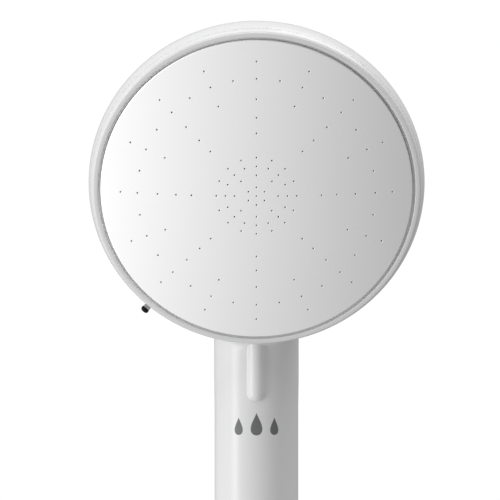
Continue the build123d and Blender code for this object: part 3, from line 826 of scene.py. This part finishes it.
def make_body_shell(voxel):
    """Bowl, neck, handle and rib as one skin, with its rim, bore, foot and slot."""
    shape = Shape()
    points, faces, open_edges = trim_skin(make_skin(voxel), rim_cut, foot_cut, True)
    slope = skin_normals(points)[0]
    shape.add(points, slope, faces)

    def on_rim(ring):
        return np.abs(in_head(ring)[1] - rim_cut) < 0.01

    def on_foot(ring):
        return np.abs(ring[:, 2] - foot_cut) < 0.01

    def on_head_rim(ring):
        return on_rim(ring) & (ring[:, 2] > head_low)

    rim, angles = open_ring(points, open_edges, on_head_rim, head_angles)
    rows, ways = head_rows(rim_profile(), angles)
    shape.add_rows([rim, *rows], [skin_normals(rim)[0], *ways])

    foot, angles = open_ring(
        points, open_edges, on_foot, lambda p: np.arctan2(p[:, 1], p[:, 0])
    )
    rows, ways = upright_rows(foot_profile(), angles)
    shape.add_rows([foot, *rows], [skin_normals(foot)[0], *ways])

    for a, b in open_edges:
        edge = points[[a, b]]
        middle = edge.mean(0)[None]
        if not near_slot(middle)[0] or on_rim(edge).any():
            continue
        inward = -np.cross(np.cross(back_dir, middle[0] - apex), back_dir)
        inward = inward / np.linalg.norm(inward)
        wall_end = edge + inward * (wall + 0.2)
        way = np.cross(edge[1] - edge[0], inward)
        centre = slot_middle(middle)
        way = way if way @ (centre - middle[0]) > 0 else -way
        shape.add(np.concatenate([edge, wall_end[::-1]]), [way] * 4, [(0, 1, 2, 3)])

    hollow, hollow_faces = make_hollow()
    shape.add(hollow[0], hollow[1], hollow_faces)
    piece = shape.piece("handset_shell", "shell_white", "handset", "shell_white")
    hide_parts("body_shell")
    return piece


def slot_middle(point):
    """The middle of the slot at this point's place along it."""
    angle = np.clip(head_angles(point), slot_start + 0.03, slot_end - 0.03)
    return head_points(58.0, angle, (slot_from + slot_to) / 2)[0]


def make_hollow():
    """The hollow of the bowl and the bore of the handle, coarser, facing inwards."""
    flare = flare_points()
    end = (crown_r, crown(crown_r, wall))
    slope = crown_r / math.sqrt((crown_curve_r - wall) ** 2 - crown_r**2)
    turn = hermite((bore_r, bore_depth), end, (0, 1), (-1, slope), bowl_pull, 40)
    radii = np.linspace(crown_r, 0, 16)
    dome = np.stack([radii, crown(radii, wall)], 1)
    bowl = [(0, rim_cut), (bore_r, rim_cut), *turn, *dome[1:]]
    tube = round_end(*handle_path(0.0, 0, lean, neck_tip), handle_bore_r)
    skin = voxel_union([lathe_mesh(bowl), tube_mesh(*tube)], 1.4)
    points, faces, _ = trim_skin(skin, bore_depth, neck_start - 10, False)
    mesh = bpy.data.meshes.new("hollow")
    mesh.from_pydata([tuple(p) for p in points], [], faces)
    outward = np.zeros(len(points) * 3)
    mesh.vertices.foreach_get("normal", outward)
    bpy.data.meshes.remove(mesh)
    return (points, -outward.reshape(-1, 3)), faces


# ---------------------------------------------------------------------------
# face_plate: the domed plate with its rounded edge, its skirt and every jet hole
# ---------------------------------------------------------------------------
jet_rings = (               # radius, number of jets, where the first one stands in degrees
    (3.28, 6, 30.0),
    (7.72, 8, 0.0),
    (10.99, 16, 0.0),
    (14.24, 16, 0.0),
    (23.02, 8, 0.0),
    (28.53, 8, 0.0),
    (35.08, 16, 0.0),
    (42.25, 32, 0.0),
    (48.25, 16, 0.0),
)
jet_lip = 0.16              # each hole's edge is rounded this far
edge_round = 0.4
plate_columns = 240
dome_edge_r = face_r - edge_round


def jet_places():
    """Where each jet stands on the face: across to the right and up."""
    places = [(0.0, 0.0)]
    for ring_r, count, first in jet_rings:
        for turn in range(count):
            angle = math.radians(first + 360 * turn / count)
            places.append((ring_r * math.cos(angle), ring_r * math.sin(angle)))
    return np.array(places)


def circle(centre, radius, count):
    """Points evenly round a circle of the sheet."""
    turns = np.linspace(0, 2 * math.pi, count, endpoint=False)
    return np.stack([centre[0] + radius * np.cos(turns), centre[1] + radius * np.sin(turns)], 1)


def plate_sheet(jets, hole_r, count):
    """A flat sheet of triangles out to the plate's edge, open at each jet."""
    loops = [circle((0, 0), dome_edge_r, plate_columns)]
    loops += [circle(jet, hole_r, count) for jet in jets]
    fill = [circle((0, 0), r, max(12, int(r * 2.6))) for r in np.arange(1.9, dome_edge_r - 1, 2.1)]
    fill = np.concatenate(fill)
    gap = np.linalg.norm(fill[:, None] - jets[None], axis=2).min(1)
    fill = fill[gap > hole_r + 0.35]
    flat, edges = np.concatenate([*loops, fill]), []
    start = 0
    for loop in loops:
        edges += [(start + i, start + (i + 1) % len(loop)) for i in range(len(loop))]
        start += len(loop)
    result = delaunay_2d_cdt([Vector(p) for p in flat], edges, [], 0, 1e-9)
    points = np.array([tuple(p) for p in result[0]])
    faces = np.array([f for f in result[2] if len(f) == 3])
    middle = points[faces].mean(1)
    clear = np.linalg.norm(middle[:, None] - jets[None], axis=2).min(1)
    outer = np.hypot(*middle.T) < dome_edge_r
    return points, faces[(clear > hole_r * math.cos(math.pi / count)) & outer]


def on_face(flat, depth):
    """Points of the sheet, each pushed to its depth in the head."""
    return apex + flat[:, :1] * side_dir + flat[:, 1:] * up_dir + depth[:, None] * back_dir


def dome_normals(flat, curve_r):
    """Forward normals of a dome of this radius."""
    out = np.sqrt(curve_r**2 - (flat**2).sum(1))
    return (flat[:, :1] * side_dir + flat[:, 1:] * up_dir - out[:, None] * back_dir) / curve_r


def make_face_plate():
    """The whole plate as one piece."""
    shape = Shape()
    jets, count = jet_places(), 18
    hole_r = jet_r + jet_lip
    flat, faces = plate_sheet(jets, hole_r, count)
    radius = np.hypot(*flat.T)
    shape.add(on_face(flat, sag(radius, face_curve_r)), dome_normals(flat, face_curve_r), faces)
    inner_r = face_curve_r - face_thick
    shape.add(
        on_face(flat, face_thick + sag(radius, inner_r)), -dome_normals(flat, inner_r), faces
    )
    for jet in jets:
        top = sag(math.hypot(*jet), face_curve_r)
        rows, ways = [], []
        lip = [
            (hole_r - jet_lip * math.sin(t), jet_lip * (1 - math.cos(t)), t)
            for t in (0, 0.8, 1.57)
        ]
        for r, drop, turn in [*lip, (jet_r, face_thick, 1.57)]:
            ring = circle(jet, r, count)
            inward = (jet - ring) / r
            depth = np.full(count, top + drop)
            if drop < 0.01:
                depth = sag(np.hypot(*ring.T), face_curve_r)
            rows.append(on_face(ring, depth))
            across = inward[:, :1] * side_dir + inward[:, 1:] * up_dir
            ways.append(math.sin(turn) * across - math.cos(turn) * back_dir)
        shape.add_rows(rows, ways)
    angles = np.linspace(0, 2 * math.pi, plate_columns, endpoint=False)
    low = sag(dome_edge_r, face_curve_r)
    rounded = arc((dome_edge_r, low + edge_round), edge_round, -77, 0, 8)
    edge = [(dome_edge_r, low), *rounded, (face_r, skirt_depth - 0.3)]
    edge += [(face_r - 0.3, skirt_depth), (skirt_inner_r + 0.3, skirt_depth)]
    edge += [(skirt_inner_r, skirt_depth - 0.3), (skirt_inner_r, low + face_thick + 0.2)]
    profile = np.array(edge, float)
    normals = -row_normals(profile)
    normals[0] = (dome_edge_r / face_curve_r, -1)
    rows, ways = head_rows(profile, -angles, normals)
    shape.add_rows(rows, ways)
    piece = shape.piece("spray_face", "face_white", "handset", "face_white")
    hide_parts("face_plate")
    return piece


# ---------------------------------------------------------------------------
# inlet_nipple: the shoulder and its G 1/2 thread as a true helix
# ---------------------------------------------------------------------------
thread_root_r = 9.3155
thread_pitch = 1.814
thread_top = 10.9
nipple_bore_r = 6.0
bore_top = 20.0
shoulder_low = 12.0
shoulder_high = 14.0
shoulder_r = 14.6
plug_r = 12.8
plug_bore_r = 8.5
plug_top = 30.0
thread_flank = 0.605
thread_crest = 0.45


def thread_height(phase):
    """Share of the thread's full height across one pitch, with rounded corners."""
    flank = thread_flank / thread_pitch
    crest = thread_crest / thread_pitch
    away = np.abs((phase + 0.5) % 1.0 - 0.5)
    rise = np.clip((crest / 2 + flank - away) / flank, 0, 1)
    return rise * rise * (3 - 2 * rise) * 0.35 + rise * 0.65


def make_nipple():
    """Thread, shoulder, plug and bore as one piece."""
    columns, per_pitch = 144, 14
    heights = np.linspace(0.35, thread_top, int(thread_top / thread_pitch * per_pitch))
    angles = np.linspace(0, 2 * math.pi, columns, endpoint=False)
    turn, height = np.meshgrid(angles, heights)

    def thread_radius(turn, height):
        fade = np.clip((height - 0.2) / 1.3, 0, 1) * np.clip((thread_top - height) / 0.9, 0, 1)
        share = thread_height((height - 0.65) / thread_pitch - turn / (2 * math.pi))
        return thread_root_r + (thread_r - thread_root_r) * share * np.minimum(1, fade * 1.2)

    radius = thread_radius(turn, height)
    by_turn = (thread_radius(turn + 1e-3, height) - radius) / 1e-3
    by_height = (thread_radius(turn, height + 1e-3) - radius) / 1e-3
    radial = np.stack([np.cos(turn), np.sin(turn), np.zeros_like(turn)], 2)
    around = np.stack([-np.sin(turn), np.cos(turn), np.zeros_like(turn)], 2)
    rows = radial * radius[..., None] + np.array([0, 0, 1.0]) * height[..., None]
    ways = radial - around * (by_turn / radius)[..., None]
    ways = ways - np.array([0, 0, 1.0]) * by_height[..., None]
    shape = Shape()
    shape.add_rows(rows, ways)
    bore_lip = arc((nipple_bore_r + 0.3, 0.3), 0.3, 180, 270, 5)
    end_face = np.concatenate(
        [[(nipple_bore_r, bore_top)], bore_lip, [(9.0, 0.0), (thread_root_r, 0.35)]]
    )
    rows, ways = upright_rows(end_face, angles, row_normals(end_face))
    shape.add_rows(rows, ways)
    low_round = arc((shoulder_r - 0.5, shoulder_low + 0.5), 0.5, -90, 0, 6)
    upper = np.concatenate(
        [
            [(thread_root_r, thread_top), (thread_root_r, shoulder_low - 0.3)],
            [(thread_root_r + 0.3, shoulder_low)],
            low_round,
            [(shoulder_r, shoulder_high - 0.2), (shoulder_r - 0.2, shoulder_high)],
            [(plug_r, shoulder_high), (plug_r, plug_top), (plug_bore_r, plug_top)],
            [(plug_bore_r, bore_top), (nipple_bore_r, bore_top)],
        ]
    )
    rows, ways = upright_rows(upper, angles, -row_normals(upper))
    shape.add_rows(rows, ways)
    piece = shape.piece("threaded_inlet", "nipple_white", "handset", "nipple_white")
    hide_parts("inlet_nipple")
    return piece


# ---------------------------------------------------------------------------
# the print on the handle: three plain water drops
# ---------------------------------------------------------------------------
print_height = 105.9
drops = (                   # place across, place up, half width, half height
    (0.0, 0.0, 2.55, 4.1),
    (-6.7, -0.8, 1.95, 3.2),
    (6.7, -0.8, 1.95, 3.2),
)


def drop_outline(across, up, half_width, half_height, count=44):
    """A drop with its tip upwards."""
    turns = np.linspace(0, 2 * math.pi, count, endpoint=False)
    bulge = np.sin(turns) * np.sin(turns / 2) ** 1.6
    x = across + half_width * bulge / 0.83
    return np.stack([x, up + half_height * np.cos(turns)], 1)


def make_print():
    """The drops as thin ink wrapped round the handle's front."""
    shape = Shape()
    ink_r = handle_r + 0.03
    for across, up, half_width, half_height in drops:
        outline = drop_outline(across, up, half_width, half_height)
        xs = np.arange(across - half_width, across + half_width, 0.45)
        ys = np.arange(up - half_height, up + half_height, 0.9)
        fill = np.array([(x, y) for x in xs for y in ys])
        count = len(outline)
        edges = [(i, (i + 1) % count) for i in range(count)]
        everything = [Vector(p) for p in np.concatenate([outline, fill])]
        result = delaunay_2d_cdt(everything, edges, [tuple(range(count))], 1, 1e-9)
        flat = np.array([tuple(p) for p in result[0]])
        turn = flat[:, 0] / ink_r
        out = np.stack([np.sin(turn), -np.cos(turn), np.zeros(len(turn))], 1)
        points = out * ink_r + np.array([0, 0, print_height]) + flat[:, 1:] * np.array([0, 0, 1.0])
        shape.add(points, out, result[2])
    return shape.piece("drop_print", "print_grey", "handset", "lever_grey")


# ---------------------------------------------------------------------------
# lever_cap: a soft rounded tip pushed over the end of the lever
# ---------------------------------------------------------------------------
lever_angle = math.radians(lever_degrees)
tip_middle = (64.575, 20.9)                 # radius and depth
tip_half = (0.975, 1.45, 1.5)               # outwards, along the swing, and in depth
tip_power = 0.8                             # 1 is an ellipsoid, 0 a box


def signed_power(value, power):
    """A power that keeps its sign, for the rounded tip."""
    return np.sign(value) * np.abs(value) ** power


def make_lever_tip():
    """The cap, as one rounded lump."""
    rows, columns = 25, 40
    rise = np.linspace(-math.pi / 2 + 0.02, math.pi / 2 - 0.02, rows)[:, None]
    turn = np.linspace(0, 2 * math.pi, columns, endpoint=False)[None]
    ring, pole = signed_power(np.cos(rise), tip_power), signed_power(np.sin(rise), tip_power)
    local = np.stack(
        [
            ring * signed_power(np.cos(turn), tip_power) * tip_half[0],
            ring * signed_power(np.sin(turn), tip_power) * tip_half[1],
            pole * np.ones_like(turn) * tip_half[2],
        ],
        2,
    )
    outward = math.cos(lever_angle) * side_dir - math.sin(lever_angle) * up_dir
    swing = -math.sin(lever_angle) * side_dir - math.cos(lever_angle) * up_dir
    axes = np.stack([outward, swing, back_dir])
    middle = head_points(tip_middle[0], lever_angle, tip_middle[1])
    shape = Shape()
    shape.add_rows(local @ axes + middle, (local / np.array(tip_half) ** 2) @ axes)
    for end in (0, -1):
        way = local[end].mean(0) @ axes
        shape.add(local[end] @ axes + middle, [way] * columns, [tuple(range(columns))])
    piece = shape.piece("lever_tip", "cap_black", "selector", "cap_black")
    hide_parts("lever_cap")
    return piece


# ---------------------------------------------------------------------------
# The scene. The spray face has softboxes of its own, so that its shading can
# differ from the shell's.
# ---------------------------------------------------------------------------
FULL_VOXEL, QUICK_VOXEL = 0.7, 2.0          # grain of the shell's skin in millimetres
AMBIENT = 0.382
SOFTBOXES = (
    # name, azimuth, elevation, distance, width, height, power, falls on the spray face alone
    ("key", -61, 0, 1.3, 0.4, 1.4, 6.1, False),
    ("side", -80, 5, 1.3, 0.7, 1.4, 1.4, False),
    ("low_fill", -70, -35, 1.2, 0.7, 0.8, 3.5, False),
    ("overhead", -20, 70, 1.2, 1.0, 1.0, 5.6, False),
    ("overhead_right", 95, 64, 1.2, 0.8, 0.8, 5.6, False),
    ("low_front", -10, -60, 1.2, 0.6, 0.6, 0.3, False),
    ("face_key", -69, 5, 1.3, 0.7, 1.4, 25.0, True),
    ("face_low", -70, -35, 1.2, 0.7, 0.8, 4.2, True),
    ("face_right", 95, 68, 1.2, 0.8, 0.8, 4.0, True),
)


def light_only(light, pieces, keep):
    """Let a light fall on these pieces alone, or on everything but them."""
    group = bpy.data.collections.new(light.name + "_falls_on")
    light.light_linking.receiver_collection = group
    for piece in pieces:
        group.objects.link(piece)
    for entry in group.collection_objects:
        entry.light_linking.link_state = "INCLUDE" if keep else "EXCLUDE"


paint_cad_nodes()
make_body_shell(FULL_VOXEL)
spray_face = make_face_plate()
make_nipple()
make_print()
make_lever_tip()
make_floor()
make_backdrop()
for *softbox, face_alone in SOFTBOXES:
    light_only(add_softbox(*softbox), [spray_face], face_alone)
set_world(AMBIENT)
set_camera()
bpy.context.scene.view_settings.view_transform = "Standard"
bpy.context.scene.view_settings.look = "None"
